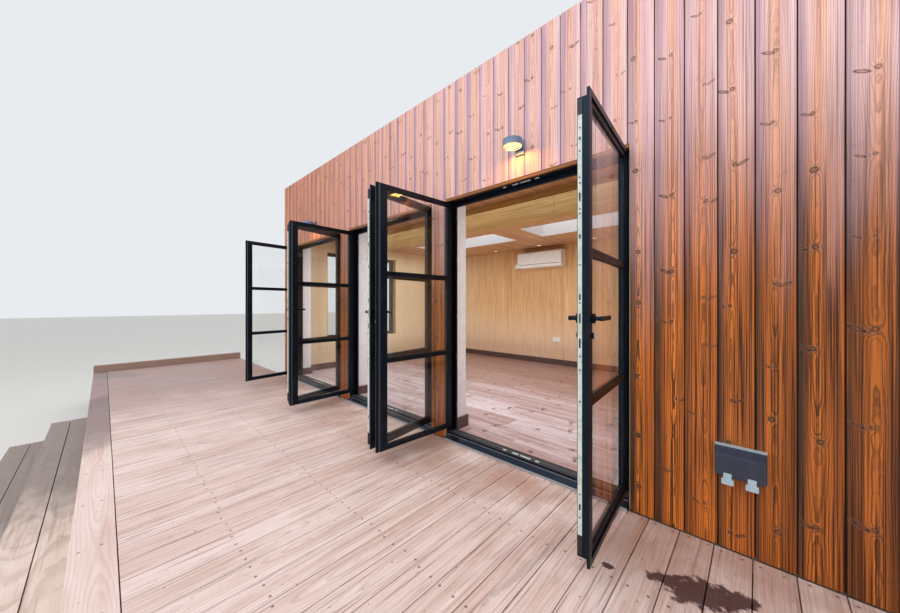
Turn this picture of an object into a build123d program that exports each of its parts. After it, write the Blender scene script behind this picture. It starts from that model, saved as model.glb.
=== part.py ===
from build123d import *
import os

# A garden annexe: a flat-roofed timber room with three pairs of glazed doors
# that open on to a raised timber deck with two steps.
# X runs along the front wall to the right, Y into the room, Z up from the ground.
# Sizes are worked out from the left front corner of the cladding, in millimetres,
# and every piece is moved at the end so that the origin is under the middle.

# Driving dimensions of the room
board_pitch = 134.5
board_gap = 5.0
board_groove = 14.0
cladding = 26.0
front_board_count = 48
side_board_count = 29
front_wall = 238.0
side_wall = 200.0
lining = 12.0
lining_gap = 2.0
deck_level = 500.0
floor_rise = 55.0
ceiling_rise = 2270.0
ceiling_panel = 18.0
roof_build_up = 290.0
wall_rise = 3100.0
cladding_foot_gap = 5.0
side_cladding_foot = 60.0
floor_depth = 200.0
sleeper_wall = 110.0
sleeper_count = 4
trim_height = 15.0
trim_overhang = 20.0

# Driving dimensions of the doors
first_opening = 387.0
opening_width = 1469.0
first_pier = 212.5
second_pier = 185.5
opening_rise = 2107.0
frame_hidden = 10.0
stop_front = 93.0
frame_back = 112.0
stop_side = 43.0
reveal_board = 33.0
head_stop_rise = 2050.0
leaf_gap = 6.0
meeting_gap = 6.0
leaf_bottom_rise = 98.0
leaf_top_rise = 2080.0
leaf_thickness = 57.0
leaf_face = 26.0
flange = 12.0
flange_lap = 20.0
flange_sight = 28.0
bead_set_back = 8.0
edge_lap = 8.0
leading_lap = 20.0
hinge_stile = 50.0
free_stile = 66.0
rail = 52.0
glazing_bar = 35.0
pane_groove = 8.0
pane_thickness = 24.0
pane_fit = 0.5
axis_stand_off = 7.0
knuckle_radius = 5.0
pin_radius = 3.0
pin_fit = 0.3
knuckle_length = 30.0
hinge_arm = 8.0
arm_gap = 1.0
hinge_plate = 4.0
hinge_heights = (180.0, 990.0, 1800.0)
left_rest_angles = (82.7, 89.3, 93.3)
right_rest_angles = (104.4, 98.0, 93.9)

# Driving dimensions of the lever handles
handle_rise = 1125.0
handle_from_edge = 42.0
spindle_radius = 5.0
spindle_fit = 0.8
rose_radius = 21.0
rose_thickness = 8.0
neck_radius = 9.0
neck_length = 34.0
lever_length = 125.0
lever_height = 20.0
lever_depth = 13.0
lever_running_gap = 0.5
cylinder_drop = 72.0
cylinder_radius = 13.0
cylinder_thickness = 7.0

# Driving dimensions of the threshold
threshold_nose = 22.0
threshold_inset = 6.0
threshold_lip = 12.0
threshold_height = 60.0
threshold_riser = 45.0
rib_pitch = 10.0
rib_width = 5.0
rib_depth = 3.0

# Driving dimensions of the gable window
window_near = 625.0
window_width = 1490.0
window_sill_rise = 570.0
window_height = 1530.0
window_frame = 55.0
window_frame_depth = 70.0
window_set_back = 40.0
window_pane = 24.0

# Driving dimensions of the ceiling, rooflights and room fittings
beam_front = 810.0
beam_width = 160.0
beam_rise = 2025.0
rooflight_lefts = (934.0, 3227.0)
rooflight_length = 1805.0
rooflight_front = 2070.0
rooflight_width = 690.0
kerb_wall = 60.0
kerb_height = 140.0
rooflight_glass = 32.0
downlight_left_end = 638.0
downlight_right_end = 544.0
downlight_count = 6
downlight_from_lining = 283.5
downlight_radius = 42.0
downlight_rim = 4.0
skirting_height = 100.0
skirting_thickness = 18.0
unit_left = 2284.0
unit_width = 890.0
unit_height = 300.0
unit_depth = 210.0
unit_rise = 1885.0
unit_round = 45.0
unit_slot = 14.0
unit_slot_depth = 30.0
isolator_size = 86.0
isolator_gap = 90.0
isolator_rise = 1905.0
socket_left = 2930.0
socket_width = 147.0
socket_height = 86.0
socket_rise = 480.0
plate_thickness = 10.0

# Driving dimensions of the outdoor fittings
light_rise = 2310.0
light_off_middle = 22.0
light_radius = 69.0
light_height = 46.0
light_stand_off = 24.0
light_plate_width = 70.0
light_plate_height = 100.0
light_plate_thickness = 14.0
light_arm_width = 44.0
light_arm_height = 26.0
light_recess = 16.0
light_shell = 5.0
outdoor_socket_gap = 385.0
outdoor_socket_width = 184.0
outdoor_socket_rise = 345.0
outdoor_socket_height = 165.0
outdoor_socket_depth = 82.0

# Driving dimensions of the deck and steps
deck_left_reach = 2640.0
deck_projection = 2184.0
deck_board_pitch = 140.0
deck_board_gap = 5.0
deck_board_thickness = 28.0
border_width = 160.0
joist_width = 47.0
joist_depth = 147.0
joist_count = 5
post_size = 100.0
post_pitch = 1700.0
fascia_thickness = 22.0
step_rise = 180.0
step_tread = 290.0
step_board_gap = 6.0
step_overhang = 150.0
step_bearer_pitch = 1100.0
kerb_thickness = 95.0
kerb_rise = 120.0
kerb_chamfer = 4.0

# Sizes worked out from the driving dimensions
room_length = front_board_count * board_pitch
room_depth = side_board_count * board_pitch + 2 * cladding
floor_level = deck_level + floor_rise
ceiling_level = deck_level + ceiling_rise
wall_top = deck_level + wall_rise
head_level = deck_level + opening_rise
inner_left = side_wall
inner_right = room_length - side_wall
inner_back = room_depth - side_wall
opening_lefts = [first_opening]
for pier in (first_pier, second_pier):
    opening_lefts.append(opening_lefts[-1] + opening_width + pier)
leaf_width = (opening_width - 2 * leaf_gap - meeting_gap) / 2
leaf_bottom = deck_level + leaf_bottom_rise
leaf_top = deck_level + leaf_top_rise
axis_y = leaf_face - axis_stand_off
deck_right = room_length
deck_left = -deck_left_reach
step_depth = 2 * step_tread
whole_left = deck_left
whole_right = deck_right
whole_front = -(deck_projection + step_depth)
whole_back = room_depth
origin_x = (whole_left + whole_right) / 2
origin_y = (whole_front + whole_back) / 2


def block(x0, x1, y0, y1, z0, z1):
    """A plain cuboid between two corners."""
    size = Box(x1 - x0, y1 - y0, z1 - z0)
    return Pos((x0 + x1) / 2, (y0 + y1) / 2, (z0 + z1) / 2) * size


def write(name, solids):
    """Move the solids of one named piece to the common origin and save them."""
    placed = [Pos(-origin_x, -origin_y, 0) * solid for solid in solids]
    shape = placed[0] if len(placed) == 1 else Compound(children=placed)
    shape.label = name
    export_step(shape, "parts/" + name + ".step")


def grooved_cladding(length, height, count):
    """Vertical boards as one panel, its shadow gaps cut as grooves, face on Y = 0."""
    outline = Polyline([(0, 0), (0, cladding), (length, cladding), (length, 0)])
    face = make_face([outline, Line((length, 0), (0, 0))])
    for index in range(1, count):
        place = index * board_pitch
        face -= Pos(place, board_groove / 2) * Rectangle(board_gap, board_groove)
    return extrude(face, amount=height)


def base_plinth():
    outer = block(cladding, room_length - cladding, cladding, room_depth - cladding, 0, deck_level)
    inner = block(inner_left, inner_right, front_wall, inner_back, -1, deck_level + 1)
    plinth = outer - inner
    sleeper_top = floor_level - floor_depth
    pitch = (inner_right - inner_left) / (sleeper_count + 1)
    for index in range(1, sleeper_count + 1):
        middle = inner_left + index * pitch
        left = middle - sleeper_wall / 2
        plinth += block(left, left + sleeper_wall, front_wall - 1, inner_back + 1, 0, sleeper_top)
    return plinth


def room_floor():
    bottom = floor_level - floor_depth
    slab = block(inner_left, inner_right, front_wall, inner_back, bottom, floor_level)
    for left in opening_lefts:
        right = left + opening_width + frame_hidden
        slab += block(left - frame_hidden, right, frame_back, front_wall, deck_level, floor_level)
    return slab


def front_wall_pieces():
    """The stretch beside each doorway, and the head over all three."""
    edges = [cladding]
    for left in opening_lefts:
        edges.append(left - frame_hidden)
        edges.append(left + opening_width + frame_hidden)
    edges.append(room_length - cladding)
    names = ["left_end", "pier_1", "pier_2", "right_end"]
    head_bottom = head_level + frame_hidden
    pieces = {}
    for index, name in enumerate(names):
        x0, x1 = edges[2 * index], edges[2 * index + 1]
        pieces["front_wall_" + name] = block(x0, x1, cladding, front_wall, deck_level, head_bottom)
    top = wall_top - trim_height
    pieces["front_wall_head"] = block(edges[0], edges[-1], cladding, front_wall, head_bottom, top)
    return pieces


def window_hole(x0, x1):
    sill = deck_level + window_sill_rise
    return block(x0, x1, window_near, window_near + window_width, sill, sill + window_height)


def side_walls():
    top = wall_top - trim_height
    left = block(cladding, side_wall, front_wall, inner_back, deck_level, top)
    right = block(inner_right, room_length - cladding, front_wall, inner_back, deck_level, top)
    back = block(cladding, room_length - cladding, inner_back, room_depth - cladding, deck_level, top)
    return {"left_wall": left - window_hole(0, side_wall + 1), "right_wall": right, "back_wall": back}


def front_cladding():
    foot = deck_level + cladding_foot_gap
    panel = Pos(0, 0, foot) * grooved_cladding(room_length, wall_top - foot, front_board_count)
    for left in opening_lefts:
        panel -= block(left, left + opening_width, -1, cladding + 1, foot - 1, head_level)
    return panel


def side_cladding():
    """The left, right and back panels, each with a small gap at its corners."""
    height = wall_top - side_cladding_foot
    depth = side_board_count * board_pitch - 2 * lining_gap
    back_length = room_length
    side = grooved_cladding(depth, height, side_board_count)
    left = Pos(0, room_depth - cladding - lining_gap, side_cladding_foot) * Rot(0, 0, -90) * side
    left -= window_hole(-1, cladding + 1)
    right = Pos(room_length, cladding + lining_gap, side_cladding_foot) * Rot(0, 0, 90) * side
    back = grooved_cladding(back_length, height, front_board_count)
    back = Pos(room_length, room_depth, side_cladding_foot) * Rot(0, 0, 180) * back
    return [left, right, back]


def rooflight_holes(z0, z1):
    holes = []
    for left in rooflight_lefts:
        back = rooflight_front + rooflight_width
        holes.append(block(left, left + rooflight_length, rooflight_front, back, z0, z1))
    return holes


def ceiling():
    panel = block(inner_left, inner_right, front_wall, inner_back, ceiling_level, ceiling_level + ceiling_panel)
    for hole in rooflight_holes(ceiling_level - 1, ceiling_level + ceiling_panel + 1):
        panel -= hole
    return panel


def roof_deck():
    """The insulated flat roof between the parapets, with a kerb round each rooflight."""
    bottom = ceiling_level + ceiling_panel
    top = bottom + roof_build_up
    deck = block(inner_left, inner_right, front_wall, inner_back, bottom, top)
    for left in rooflight_lefts:
        x0, x1 = left - kerb_wall, left + rooflight_length + kerb_wall
        y0, y1 = rooflight_front - kerb_wall, rooflight_front + rooflight_width + kerb_wall
        deck += block(x0, x1, y0, y1, top - 1, top + kerb_height)
    for hole in rooflight_holes(bottom - 1, top + kerb_height + 1):
        deck -= hole
    return deck


def rooflight_panes():
    """A flat glass unit on each kerb, with rounded upper edges."""
    bottom = ceiling_level + ceiling_panel + roof_build_up + kerb_height
    panes = []
    for left in rooflight_lefts:
        x0, x1 = left - kerb_wall, left + rooflight_length + kerb_wall
        y0, y1 = rooflight_front - kerb_wall, rooflight_front + rooflight_width + kerb_wall
        pane = block(x0, x1, y0, y1, bottom, bottom + rooflight_glass)
        panes.append(chamfer(pane.edges().group_by(Axis.Z)[-1], rooflight_glass / 4))
    return panes


def roof_edge_trim():
    """A flat metal capping on the parapet, behind the tops of the boards."""
    z0, z1 = wall_top - trim_height, wall_top
    outer = block(cladding, room_length - cladding, cladding, room_depth - cladding, z0, z1)
    x0, x1 = inner_left + trim_overhang, inner_right - trim_overhang
    inner = block(x0, x1, front_wall + trim_overhang, inner_back - trim_overhang, z0 - 1, z1 + 1)
    return outer - inner


def boxed_beam():
    bottom = deck_level + beam_rise
    x0, x1 = inner_left + lining, inner_right - lining
    return block(x0, x1, beam_front, beam_front + beam_width, bottom, ceiling_level)


def wall_lining():
    """Plywood sheets on the four inner wall faces, a shadow gap apart in the corners."""
    z0, z1 = floor_level, ceiling_level
    back = block(inner_left, inner_right, inner_back - lining, inner_back, z0, z1)
    y0, y1 = front_wall + lining + lining_gap, inner_back - lining - lining_gap
    left = block(inner_left, inner_left + lining, y0, y1, z0, z1)
    left -= window_hole(inner_left - 1, inner_left + lining + 1)
    right = block(inner_right - lining, inner_right, y0, y1, z0, z1)
    front = block(inner_left, inner_right, front_wall, front_wall + lining, z0, z1)
    for opening in opening_lefts:
        x0, x1 = opening - frame_hidden, opening + opening_width + frame_hidden
        front -= block(x0, x1, front_wall - 1, front_wall + lining + 1, z0 - 1, head_level + frame_hidden)
    return [back, left, right, front]


def door_reveals():
    """White boards on both sides and the head of each doorway, behind its frame."""
    boards = []
    depth = front_wall + lining
    for left in opening_lefts:
        x0, x1 = left - frame_hidden, left + opening_width + frame_hidden
        z1 = head_level + frame_hidden
        side_top = z1 - lining - lining_gap
        boards.append(block(x0, x0 + reveal_board, frame_back, depth, floor_level, side_top))
        boards.append(block(x1 - reveal_board, x1, frame_back, depth, floor_level, side_top))
        boards.append(block(x0, x1, frame_back, depth, z1 - lining, z1))
    return boards


def skirting():
    """Skirting boards on the inner walls and round into each doorway."""
    z0, z1 = floor_level, floor_level + skirting_height
    thick = skirting_thickness
    wall_y = front_wall + lining
    x_left, x_right = inner_left + lining, inner_right - lining
    y_back = inner_back - lining
    boards = [block(x_left, x_right, y_back - thick, y_back, z0, z1)]
    y0, y1 = wall_y + thick + lining_gap, y_back - thick - lining_gap
    boards.append(block(x_left, x_left + thick, y0, y1, z0, z1))
    boards.append(block(x_right - thick, x_right, y0, y1, z0, z1))
    edges = [x_left]
    for left in opening_lefts:
        edges.append(left - frame_hidden + reveal_board)
        edges.append(left + opening_width + frame_hidden - reveal_board)
    edges.append(x_right)
    for index in range(4):
        x0, x1 = edges[2 * index], edges[2 * index + 1]
        left_leg, right_leg = index > 0, index < 3
        front_x0 = x0 - thick if left_leg else x0
        front_x1 = x1 + thick if right_leg else x1
        board = block(front_x0, front_x1, wall_y, wall_y + thick, z0, z1)
        if left_leg:
            board += block(x0 - thick, x0, frame_back, wall_y, z0, z1)
        if right_leg:
            board += block(x1, x1 + thick, frame_back, wall_y, z0, z1)
        boards.append(board)
    return boards


def door_threshold(left):
    """A ramped aluminium threshold with a ribbed top, its section carried along X."""
    z = deck_level
    points = [
        (-threshold_nose, z),
        (-threshold_nose, z + threshold_lip),
        (leaf_face - threshold_lip, z + threshold_riser),
        (leaf_face, z + threshold_riser),
        (leaf_face, z + threshold_height),
        (frame_back, z + threshold_height),
        (frame_back, z),
    ]
    section = Plane.YZ * make_face(Polyline(points, close=True))
    width = opening_width - 2 * threshold_inset
    sill = Pos(left + threshold_inset, 0, 0) * extrude(section, amount=width)
    x0, x1 = left - frame_hidden, left + opening_width + frame_hidden
    sill += block(x0, x1, cladding, frame_back, z, z + threshold_height)
    rib_y = leaf_face + rib_pitch
    while rib_y + rib_width < stop_front:
        x0 = left + stop_side
        x1 = left + opening_width - stop_side
        top = z + threshold_height
        sill -= block(x0, x1, rib_y, rib_y + rib_width, top - rib_depth, top + 1)
        rib_y += rib_pitch
    return sill


def door_frame(left):
    """Two jambs and a head with a stop for the leaves, and the fixed hinge knuckles."""
    right = left + opening_width
    foot = deck_level + threshold_height
    top = head_level + frame_hidden
    frame = block(left - frame_hidden, right + frame_hidden, cladding, frame_back, foot, top)
    frame -= block(left, right, cladding - 1, stop_front, foot - 1, leaf_top + leaf_gap)
    x0, x1 = left + stop_side, right - stop_side
    frame -= block(x0, x1, stop_front - 1, frame_back + 1, foot - 1, deck_level + head_stop_rise)
    for side, edge in ((1, left), (-1, right)):
        for height in hinge_heights:
            frame += fixed_knuckles(edge, side, deck_level + leaf_bottom_rise + height)
    return frame


def fixed_knuckles(edge, side, z):
    """The upper and lower knuckle beside the jamb, the pin, and the arms that hold them."""
    half = knuckle_length / 2
    axis_x = edge + side * leaf_gap
    reach = axis_x - side * arm_gap
    front_x0, front_x1 = sorted((edge + side * arm_gap / 2, reach))
    back_x0, back_x1 = sorted((edge - side * arm_gap, reach))
    part = None
    for low in (z - half - knuckle_length, z + half):
        high = low + knuckle_length
        piece = Pos(axis_x, axis_y, (low + high) / 2) * Cylinder(knuckle_radius, knuckle_length)
        piece += block(front_x0, front_x1, axis_y, cladding + 1, low, high)
        piece += block(back_x0, back_x1, cladding, cladding + hinge_arm, low, high)
        part = piece if part is None else part + piece
    pin_length = 3 * knuckle_length
    part += Pos(axis_x, axis_y, z) * Cylinder(pin_radius, pin_length)
    return part


def pane_heights():
    """Lower and upper edge of the three glazed openings of a leaf."""
    low = leaf_bottom + rail
    high = leaf_top - rail
    pane = (high - low - 2 * glazing_bar) / 3
    step = pane + glazing_bar
    return [(low + index * step, low + index * step + pane) for index in range(3)]


def closed_leaf(free_lap):
    """A left leaf, closed, with its hinge axis on the Z axis and its outer face towards -Y."""
    y0 = axis_stand_off
    y1 = y0 + flange
    y2 = y0 + leaf_thickness
    leaf = block(0, leaf_width, y0, y1, leaf_bottom, leaf_top)
    body_bottom, body_top = leaf_bottom + flange_lap, leaf_top - flange_lap
    leaf += block(edge_lap, leaf_width - free_lap, y1, y2, body_bottom, body_top)
    low, high = leaf_bottom + flange_sight, leaf_top - flange_sight
    leaf -= block(flange_sight, leaf_width - flange_sight, y0 - 1, y0 + bead_set_back, low, high)
    middle = y0 + leaf_thickness / 2
    groove = pane_thickness / 2 + pane_fit
    for low, high in pane_heights():
        leaf -= block(hinge_stile, leaf_width - free_stile, y0 - 1, y2 + 1, low, high)
        x0, x1 = hinge_stile - pane_groove, leaf_width - free_stile + pane_groove
        z0, z1 = low - pane_groove, high + pane_groove
        leaf -= block(x0, x1, middle - groove, middle + groove, z0, z1)
    bore = pin_radius + pin_fit
    length = knuckle_length - 2 * pin_fit
    for height in hinge_heights:
        z = leaf_bottom + height
        knuckle = Pos(0, 0, z) * Cylinder(knuckle_radius, length)
        knuckle += block(0, 3 * knuckle_radius, y0 - hinge_plate, y0, z - length / 2, z + length / 2)
        knuckle += block(0, knuckle_radius, 0, y0, z - length / 2, z + length / 2)
        leaf += knuckle
        leaf -= Pos(0, 0, z) * Cylinder(bore, length + 2)
    return leaf


def leaf_panes():
    """The three sealed glass units of a leaf, held in the grooves of its frame."""
    middle = axis_stand_off + leaf_thickness / 2
    half = pane_thickness / 2
    panes = []
    for low, high in pane_heights():
        x0 = hinge_stile - pane_groove + pane_fit
        x1 = leaf_width - free_stile + pane_groove - pane_fit
        z0, z1 = low - pane_groove + pane_fit, high + pane_groove - pane_fit
        panes.append(block(x0, x1, middle - half, middle + half, z0, z1))
    return panes


def lock_fittings():
    """A rose and a key cylinder cover on each face of the leading leaf."""
    x = leaf_width - handle_from_edge
    z = deck_level + handle_rise
    faces = ((axis_stand_off, -1, bead_set_back), (axis_stand_off + leaf_thickness, 1, 0.0))
    parts = []
    for y, way, sunk in faces:
        rose_y = y + way * (rose_thickness - sunk) / 2
        rose = Pos(x, rose_y, z) * Rot(90, 0, 0) * Cylinder(rose_radius, rose_thickness + sunk)
        cover_y = y + way * (cylinder_thickness - sunk) / 2
        cover = Rot(90, 0, 0) * Cylinder(cylinder_radius, cylinder_thickness + sunk)
        parts.append(rose)
        parts.append(Pos(x, cover_y, z - cylinder_drop) * cover)
    return parts


def spindle_hole():
    x = leaf_width - handle_from_edge
    length = leaf_thickness + 4 * rose_thickness
    y = axis_stand_off + leaf_thickness / 2
    radius = spindle_radius + spindle_fit
    return Pos(x, y, deck_level + handle_rise) * Rot(90, 0, 0) * Cylinder(radius, length)


def lever_handle():
    """Both levers on one spindle, each with a round neck and a rounded bar."""
    x = leaf_width - handle_from_edge
    z = deck_level + handle_rise
    middle = axis_stand_off + leaf_thickness / 2
    face = leaf_thickness / 2 + rose_thickness + lever_running_gap
    reach = face + neck_length
    handle = Cylinder(spindle_radius, 2 * face + 2)
    for way in (-1, 1):
        neck = Pos(0, 0, way * (face + neck_length / 2)) * Cylinder(neck_radius, neck_length)
        bar = Pos((neck_radius - lever_length) / 2, 0, way * (reach - lever_depth / 2))
        bar = bar * Box(lever_length + neck_radius, lever_height, lever_depth)
        bar = fillet(bar.edges().filter_by(Axis.X), lever_depth / 3)
        handle += neck + bar
    return Pos(x, middle, z) * Rot(90, 0, 0) * handle


def hang(shape, opening, side, angle):
    """Turn a closed left leaf by its rest angle and hang it on one side of an opening."""
    left = opening_lefts[opening]
    if side == "left":
        return Pos(left + leaf_gap, axis_y, 0) * Rot(0, 0, -angle) * shape
    mirrored = mirror(shape, about=Plane.YZ)
    return Pos(left + opening_width - leaf_gap, axis_y, 0) * Rot(0, 0, angle) * mirrored


def write_doors():
    plain = closed_leaf(edge_lap)
    leading = closed_leaf(leading_lap)
    for part in lock_fittings():
        leading += part
    leading -= spindle_hole()
    panes = leaf_panes()
    handle = lever_handle()
    for opening in range(3):
        number = str(opening + 1)
        angle = left_rest_angles[opening]
        write("door_leaf_" + number + "_left", [hang(plain, opening, "left", angle)])
        write("door_glass_" + number + "_left", [hang(pane, opening, "left", angle) for pane in panes])
        angle = right_rest_angles[opening]
        write("door_leaf_" + number + "_right", [hang(leading, opening, "right", angle)])
        write("door_glass_" + number + "_right", [hang(pane, opening, "right", angle) for pane in panes])
        write("lever_handle_" + number, [hang(handle, opening, "right", angle)])


def gable_window():
    """A fixed black frame with one middle bar, and its two glass units."""
    sill = deck_level + window_sill_rise
    x0 = window_set_back
    x1 = x0 + window_frame_depth
    y0, y1 = window_near, window_near + window_width
    z0, z1 = sill, sill + window_height
    frame = block(x0, x1, y0, y1, z0, z1)
    middle = (y0 + y1) / 2
    half_bar = window_frame / 2
    pane_x = (x0 + x1) / 2
    panes = []
    for low, high in ((y0 + window_frame, middle - half_bar), (middle + half_bar, y1 - window_frame)):
        frame -= block(x0 - 1, x1 + 1, low, high, z0 + window_frame, z1 - window_frame)
        groove = window_pane / 2 + pane_fit
        g = pane_groove
        frame -= block(pane_x - groove, pane_x + groove, low - g, high + g,
                       z0 + window_frame - g, z1 - window_frame + g)
        fit = pane_groove - pane_fit
        panes.append(block(pane_x - window_pane / 2, pane_x + window_pane / 2, low - fit, high + fit,
                           z0 + window_frame - fit, z1 - window_frame + fit))
    return frame, panes


def wall_light(middle_x):
    """A short round drum open below, on an arm from a wall plate."""
    z = deck_level + light_rise
    plate_half = light_plate_width / 2
    low, high = z - light_plate_height / 2, z + light_plate_height / 2
    light = block(middle_x - plate_half, middle_x + plate_half, -light_plate_thickness, 0, low, high)
    drum_y = -(light_plate_thickness + light_stand_off + light_radius)
    drum = Cylinder(light_radius, light_height)
    drum = fillet(drum.edges().group_by(Axis.Z)[-1], light_shell / 2)
    hollow = Cylinder(light_radius - light_shell, light_recess)
    drum -= Pos(0, 0, -(light_height - light_recess) / 2) * hollow
    arm_half = light_arm_width / 2
    arm_back = -light_plate_thickness / 2
    arm_top = z + light_height / 2 - light_shell
    arm = block(middle_x - arm_half, middle_x + arm_half, drum_y + light_radius / 2, arm_back,
                arm_top - light_arm_height, arm_top)
    light += arm
    light += Pos(middle_x, drum_y, z) * drum
    return light


def outdoor_socket():
    """A weatherproof twin socket: a deep base, a hinged sloping cover and two clips below."""
    left = opening_lefts[-1] + opening_width + outdoor_socket_gap
    right = left + outdoor_socket_width
    z0 = deck_level + outdoor_socket_rise
    z1 = z0 + outdoor_socket_height
    clip = outdoor_socket_height * 0.16
    depth = outdoor_socket_depth
    base_depth = depth * 0.45
    base = block(left, right, -base_depth, 0, z0 + clip, z1)
    cover_points = [
        (-base_depth, z0 + clip),
        (-depth, z0 + clip * 1.4),
        (-depth * 0.92, z1 - clip),
        (-base_depth, z1 - clip * 0.3),
    ]
    section = Plane.YZ * make_face(Polyline(cover_points, close=True))
    inset = outdoor_socket_width * 0.03
    cover = Pos(left + inset, 0, 0) * extrude(section, amount=outdoor_socket_width - 2 * inset)
    cover = fillet(cover.edges().filter_by(Axis.X).group_by(Axis.Y)[0], clip / 4)
    socket = base + cover
    for share in (0.27, 0.73):
        middle = left + share * outdoor_socket_width
        half = clip * 0.55
        socket += block(middle - half, middle + half, -depth * 0.75, -base_depth * 0.6, z0, z0 + clip)
    return socket


def air_conditioner():
    """A wall unit with a rounded front and an air slot under it."""
    back = inner_back - lining
    z0 = deck_level + unit_rise
    unit = block(unit_left, unit_left + unit_width, back - unit_depth, back, z0, z0 + unit_height)
    front_edges = unit.edges().filter_by(Axis.X).group_by(Axis.Y)[0]
    unit = fillet(front_edges, unit_round)
    ends = unit.faces().filter_by(Axis.X)
    unit = fillet(ends.edges(), unit_slot / 4)
    slot_low = z0 + unit_round
    x0, x1 = unit_left + unit_round, unit_left + unit_width - unit_round
    y0 = back - unit_depth - 1
    unit -= block(x0, x1, y0, y0 + unit_slot_depth, slot_low, slot_low + unit_slot)
    return unit


def wall_sockets():
    back = inner_back - lining
    y0 = back - plate_thickness
    low = deck_level + socket_rise
    twin = block(socket_left, socket_left + socket_width, y0, back, low, low + socket_height)
    right = unit_left - isolator_gap
    low = deck_level + isolator_rise
    single = block(right - isolator_size, right, y0, back, low, low + isolator_size)
    plates = []
    for plate in (twin, single):
        front = plate.faces().group_by(Axis.Y)[0]
        plates.append(chamfer(front.edges(), plate_thickness / 4))
    return plates


def downlights():
    lights = []
    y = inner_back - lining - downlight_from_lining
    first = inner_left + lining + downlight_left_end
    last = inner_right - lining - downlight_right_end
    for index in range(downlight_count):
        x = first + index * (last - first) / (downlight_count - 1)
        rim = Cylinder(downlight_radius, downlight_rim)
        rim -= Pos(0, 0, -downlight_rim / 4) * Cylinder(downlight_radius * 0.7, downlight_rim / 2)
        lights.append(Pos(x, y, ceiling_level - downlight_rim / 2) * rim)
    return lights


def deck_boards():
    """Boards at right angles to the front wall, and the border board along their ends."""
    z0, z1 = deck_level - deck_board_thickness, deck_level
    inner_edge = -(deck_projection - border_width)
    x = deck_left + kerb_thickness
    boards = []
    while x + deck_board_gap < deck_right:
        right = min(x + deck_board_pitch - deck_board_gap, deck_right)
        boards.append(block(x, right, inner_edge + deck_board_gap, -deck_board_gap, z0, z1))
        x += deck_board_pitch
    boards.append(block(deck_left + kerb_thickness, deck_right, -deck_projection, inner_edge, z0, z1))
    return boards


def deck_frame():
    """Joists on posts, tied by end joists, with a board face to the steps and the left."""
    top = deck_level - deck_board_thickness
    bottom = top - joist_depth
    x0, x1 = deck_left + fascia_thickness, deck_right - fascia_thickness
    front = -(deck_projection - fascia_thickness)
    back = -joist_width / 4
    frame = block(x0, x0 + joist_width, front, back, bottom, top)
    frame += block(x1 - joist_width, x1, front, back, bottom, top)
    spacing = (back - front - joist_width) / (joist_count - 1)
    post_count = int((x1 - x0) // post_pitch) + 1
    post_spacing = (x1 - x0 - post_size) / (post_count - 1)
    for row in range(joist_count):
        y = front + row * spacing
        frame += block(x0, x1, y, y + joist_width, bottom, top)
    for row in (0, joist_count // 2, joist_count - 1):
        y = front + row * spacing + joist_width / 2 - post_size / 2
        y = min(max(y, front), back - post_size)
        for index in range(post_count):
            x = x0 + index * post_spacing
            frame += block(x, x + post_size, y, y + post_size, 0, bottom)
    frame += block(deck_left, deck_right, -deck_projection, front, 0, top)
    frame += block(deck_left, x0, front, back, 0, top)
    frame += block(x1, deck_right, front, back, 0, top)
    return frame


def step(level, front, back):
    """Two tread boards on bearers, with a riser board under the front edge."""
    top = level
    under = top - deck_board_thickness
    middle = (front + back) / 2
    half_gap = step_board_gap / 2
    left, right = -step_overhang, deck_right
    flight = block(left, right, front, middle - half_gap, under, top)
    flight += block(left, right, middle + half_gap, back, under, top)
    flight += block(left, right, front, front + fascia_thickness, 0, under)
    flight += block(left, left + fascia_thickness, front, back, 0, under)
    flight += block(right - fascia_thickness, right, front, back, 0, under)
    count = int((right - left) // step_bearer_pitch)
    for index in range(1, count):
        x = left + index * (right - left) / count
        flight += block(x, x + joist_width, front, back, 0, under)
    return flight


def deck_end_kerb():
    z0 = deck_level - deck_board_thickness
    x1 = deck_left + kerb_thickness - deck_board_gap
    kerb = block(deck_left, x1, -deck_projection, 0, z0, deck_level + kerb_rise)
    return chamfer(kerb.edges().filter_by(Axis.Y).group_by(Axis.Z)[-1], kerb_chamfer)


def write_all():
    os.makedirs("parts", exist_ok=True)
    write("base_plinth", [base_plinth()])
    write("room_floor", [room_floor()])
    for name, solid in front_wall_pieces().items():
        write(name, [solid])
    for name, solid in side_walls().items():
        write(name, [solid])
    write("front_cladding", [front_cladding()])
    write("side_cladding", side_cladding())
    write("ceiling", [ceiling()])
    write("roof_deck", [roof_deck()])
    write("rooflight_glass", rooflight_panes())
    write("roof_edge_trim", [roof_edge_trim()])
    write("boxed_beam", [boxed_beam()])
    write("wall_lining", wall_lining())
    write("door_reveals", door_reveals())
    write("skirting", skirting())
    for index, left in enumerate(opening_lefts):
        write("door_threshold_" + str(index + 1), [door_threshold(left)])
        write("door_frame_" + str(index + 1), [door_frame(left)])
    write_doors()
    frame, panes = gable_window()
    write("gable_window_frame", [frame])
    write("gable_window_glass", panes)
    light_places = [opening_lefts[index] + opening_width / 2 + light_off_middle for index in (0, 2)]
    write("wall_lights", [wall_light(x) for x in light_places])
    write("outdoor_socket", [outdoor_socket()])
    write("air_conditioner", [air_conditioner()])
    write("wall_sockets", wall_sockets())
    write("downlights", downlights())
    write("deck_boards", deck_boards())
    write("deck_frame", [deck_frame()])
    upper_front = -(deck_projection + step_tread)
    write("step_upper", [step(deck_level - step_rise, upper_front, -deck_projection)])
    lower_front = upper_front - step_tread
    write("step_lower", [step(deck_level - 2 * step_rise, lower_front, upper_front)])
    write("deck_end_kerb", [deck_end_kerb()])


write_all()
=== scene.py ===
import math

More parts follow.
